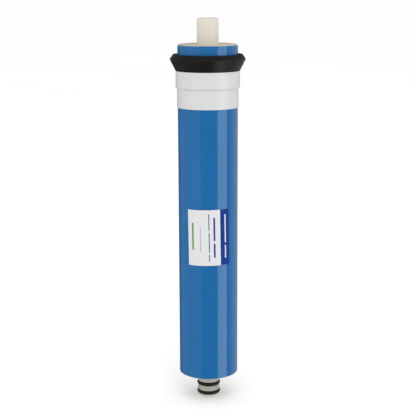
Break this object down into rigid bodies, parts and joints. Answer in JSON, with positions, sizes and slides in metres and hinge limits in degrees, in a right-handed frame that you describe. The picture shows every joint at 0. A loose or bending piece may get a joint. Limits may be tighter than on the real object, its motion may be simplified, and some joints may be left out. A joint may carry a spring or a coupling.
{
  "type": "ro membrane element",
  "caption": "Spiral-wound reverse osmosis element: a wound membrane roll in blue film on a product tube, with a flared rubber seal near the closed end and an O-ring spigot at the foot.",
  "frame": {"origin": "centre of the product tube's foot face, which the element stands on", "axes": "+Z along the tube to its closed feed end, -Y to the side that carries the label, +X to the right of someone reading the label"},
  "size_m": [0.0576, 0.0574, 0.298],
  "materials": {
    "tube_plastic": "cream moulded plastic, satin",
    "o_ring_rubber": "black rubber, lightly greased",
    "membrane_sheet": "cream coated polyester sheet, cut edges",
    "spacer_net": "natural polypropylene net",
    "carrier_cloth": "stiff cream knitted cloth",
    "wrap_film": "blue film, glossy",
    "seal_rubber": "black moulded rubber, satin",
    "band_plastic": "white plastic, satin",
    "label_paper": "white coated paper with a dark blue edge"
  },
  "bodies": {
    "root": {"product_tube": "tube_plastic", "tube_plug": "tube_plastic", "o_ring_lower": "o_ring_rubber", "o_ring_upper": "o_ring_rubber", "membrane_leaf": "membrane_sheet", "feed_spacer": "spacer_net", "permeate_carrier": "carrier_cloth", "outer_wrap": "wrap_film", "brine_seal": "seal_rubber", "seal_band": "band_plastic", "label": "label_paper"}
  },
  "joints": []
}
